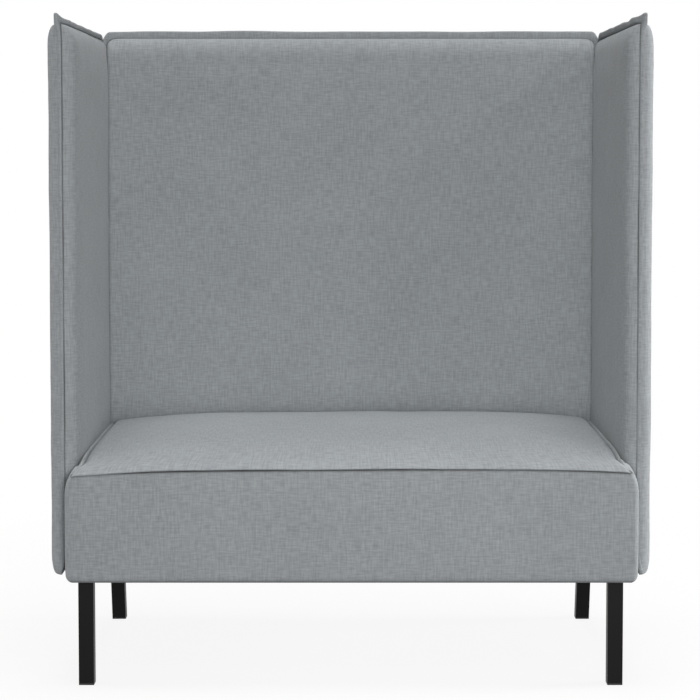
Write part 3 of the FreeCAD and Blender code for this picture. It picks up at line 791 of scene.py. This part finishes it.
def grained(name, dark, light, stretch, roughness, metallic, bump_distance, specular=0.3):
    """A finish whose colour, roughness and bump follow a stretched grain."""
    material, shader, add, join = new_finish(name)
    place = add("ShaderNodeTexCoord").outputs["Object"]
    mapping = add("ShaderNodeMapping")
    mapping.inputs["Scale"].default_value = stretch
    join(place, mapping.inputs["Vector"])
    grain = add("ShaderNodeTexNoise")
    grain.inputs["Scale"].default_value = 1.0
    grain.inputs["Detail"].default_value = 4.0
    join(mapping.outputs[0], grain.inputs["Vector"])
    ramp = add("ShaderNodeValToRGB")
    ramp.color_ramp.elements[0].position = 0.3
    ramp.color_ramp.elements[1].position = 0.7
    ramp.color_ramp.elements[0].color = (*dark, 1)
    ramp.color_ramp.elements[1].color = (*light, 1)
    join(grain.outputs["Fac"], ramp.inputs["Fac"])
    join(ramp.outputs["Color"], shader.inputs["Base Color"])
    spread = add("ShaderNodeMapRange")
    spread.inputs["To Min"].default_value = roughness - 0.06
    spread.inputs["To Max"].default_value = roughness + 0.06
    join(grain.outputs["Fac"], spread.inputs["Value"])
    join(spread.outputs[0], shader.inputs["Roughness"])
    bump = add("ShaderNodeBump")
    bump.inputs["Strength"].default_value = 0.3
    bump.inputs["Distance"].default_value = bump_distance
    join(grain.outputs["Fac"], bump.inputs["Height"])
    join(bump.outputs[0], shader.inputs["Normal"])
    shader.inputs["Metallic"].default_value = metallic
    shader.inputs["Specular IOR Level"].default_value = specular
    return material


fabric = woven_fabric("grey_melange", (0.335, 0.355, 0.368))
welt_cloth = woven_fabric("grey_melange_welt", (0.325, 0.345, 0.358))
finishes = {
    "leg_steel": grained(
        "black_satin_coat",
        (0.003, 0.003, 0.003),
        (0.005, 0.005, 0.005),
        (900,) * 3,
        0.45,
        0,
        0.0001,
        specular=0.12,
    ),
    "glide_plastic": grained(
        "black_glide", (0.012, 0.012, 0.012), (0.020, 0.020, 0.020), (700,) * 3, 0.55, 0, 0.0001
    ),
    "dust_cloth": grained(
        "black_dust_cloth", (0.012, 0.012, 0.013), (0.030, 0.030, 0.032), (600,) * 3, 0.9, 0, 0.0003
    ),
    "felt_pad": grained(
        "grey_felt", (0.16, 0.15, 0.14), (0.30, 0.29, 0.27), (300,) * 3, 0.95, 0, 0.0005
    ),
    "frame_timber": grained(
        "pale_beech", (0.42, 0.27, 0.15), (0.60, 0.42, 0.26), (60, 60, 6), 0.6, 0, 0.0003
    ),
    "hardboard": grained(
        "brown_hardboard", (0.16, 0.09, 0.05), (0.26, 0.16, 0.09), (250,) * 3, 0.6, 0, 0.0002
    ),
    "spring_steel": grained(
        "blued_spring_wire", (0.12, 0.12, 0.13), (0.25, 0.25, 0.27), (300,) * 3, 0.35, 1, 0.0001
    ),
    "zinc_steel": grained(
        "zinc_plate", (0.45, 0.46, 0.47), (0.65, 0.66, 0.68), (400,) * 3, 0.35, 1, 0.0001
    ),
    "foam": grained(
        "cream_foam", (0.60, 0.55, 0.42), (0.75, 0.70, 0.57), (400,) * 3, 0.95, 0, 0.0006
    ),
    "upholstery_fabric": fabric,
    "welt_fabric": welt_cloth,
}
for part in frame["record"]["subparts"]:
    node = frame["nodes"][part["node"]]
    node.data.materials.clear()
    node.data.materials.append(finishes[part["material_slot"]])
for piece in bpy.data.objects:
    if piece.type == "MESH" and piece.name not in frame["nodes"]:
        piece.data.materials.clear()
        piece.data.materials.append(welt_cloth if "welt" in piece.name else fabric)


# Studio


def studio_floor():
    """A pale floor that the camera sees as white, with the object's shadow near the object."""
    bpy.ops.object.select_all(action="DESELECT")
    bpy.ops.mesh.primitive_plane_add(size=40)
    floor = bpy.context.object
    floor.name = "studio_floor"
    material, shader, add, join = new_finish("pale_floor")
    tree = material.node_tree
    path = add("ShaderNodeLightPath")
    seen = path.outputs["Is Camera Ray"]
    for ray in ("Is Glossy Ray", "Is Transmission Ray"):
        seen = math_node(add, join, "MAXIMUM", seen, path.outputs[ray])
    tint = add("ShaderNodeMix", data_type="RGBA")
    tint.inputs["A"].default_value = (0.16, 0.16, 0.16, 1)
    tint.inputs["B"].default_value = (0.9, 0.9, 0.9, 1)
    join(seen, tint.inputs["Factor"])
    join(tint.outputs["Result"], shader.inputs["Base Color"])
    shader.inputs["Roughness"].default_value = 0.9
    shader.inputs["Specular IOR Level"].default_value = 0.0
    away = add("ShaderNodeVectorMath", operation="LENGTH")
    join(add("ShaderNodeTexCoord").outputs["Object"], away.inputs[0])
    white = add("ShaderNodeMapRange", interpolation_type="SMOOTHSTEP")
    white.inputs["From Min"].default_value = 0.8
    white.inputs["From Max"].default_value = 2.4
    white.inputs["To Min"].default_value = 0.88
    white.inputs["To Max"].default_value = 1.0
    join(away.outputs["Value"], white.inputs["Value"])
    glow = add("ShaderNodeEmission")
    glow.inputs["Strength"].default_value = 1.0
    blend = add("ShaderNodeMixShader")
    join(math_node(add, join, "MULTIPLY", seen, white.outputs[0]), blend.inputs["Fac"])
    join(shader.outputs[0], blend.inputs[1])
    join(glow.outputs[0], blend.inputs[2])
    join(blend.outputs[0], tree.nodes["Material Output"].inputs["Surface"])
    floor.data.materials.append(material)


def studio_world(ambient):
    """A white surrounding that lights the object only a little."""
    world = bpy.data.worlds.new("studio")
    bpy.context.scene.world = world
    world.use_nodes = True
    tree = world.node_tree
    background = tree.nodes["Background"]
    background.inputs["Color"].default_value = (1, 1, 1, 1)
    path = tree.nodes.new("ShaderNodeLightPath")
    seen = path.outputs["Is Camera Ray"]
    for ray in ("Is Glossy Ray", "Is Transmission Ray"):
        either = tree.nodes.new("ShaderNodeMath")
        either.operation = "MAXIMUM"
        tree.links.new(seen, either.inputs[0])
        tree.links.new(path.outputs[ray], either.inputs[1])
        seen = either.outputs[0]
    level = tree.nodes.new("ShaderNodeMapRange")
    level.inputs["To Min"].default_value = ambient
    level.inputs["To Max"].default_value = 1.0
    tree.links.new(seen, level.inputs["Value"])
    tree.links.new(level.outputs[0], background.inputs["Strength"])


def softbox(name, place, target, size, power):
    lamp = bpy.data.lights.new(name, "AREA")
    lamp.shape = "DISK"
    lamp.size = size
    lamp.energy = power
    holder = bpy.data.objects.new(name, lamp)
    bpy.context.scene.collection.objects.link(holder)
    holder.location = place
    holder.rotation_euler = (Vector(target) - Vector(place)).to_track_quat("-Z", "Y").to_euler()


def photo_camera():
    lens = bpy.data.cameras.new("photo_camera")
    lens.sensor_width = 36.0
    lens.lens = 109.24
    lens.shift_x = -0.001
    lens.shift_y = -0.1009
    lens.clip_end = 100
    camera = bpy.data.objects.new("photo_camera", lens)
    bpy.context.scene.collection.objects.link(camera)
    camera.location = (0, -4.725, 1.125)
    camera.rotation_euler = (math.radians(86.5), 0, 0)
    bpy.context.scene.camera = camera


studio_floor()
studio_world(0.08)
softbox("top_light", (0.0, -0.4, 7.0), (0, -0.1, 0.5), 4.2, 300)
softbox("front_light", (0.2, -3.2, 0.75), (0, 0, 0.7), 1.2, 52)
softbox("key_light", (3.35, -3.2, 3.4), (0, 0, 0.8), 0.3, 16)
softbox("right_light", (4.2, 0.35, 0.85), (0.6, 0, 0.85), 1.4, 155)
softbox("left_light", (-4.2, 0.35, 0.85), (-0.6, 0, 0.85), 1.4, 62)
softbox("rear_light", (0.0, 6.5, 1.0), (0, 0.3, 0.8), 1.2, 190)
photo_camera()
bpy.context.scene.view_settings.view_transform = "Standard"
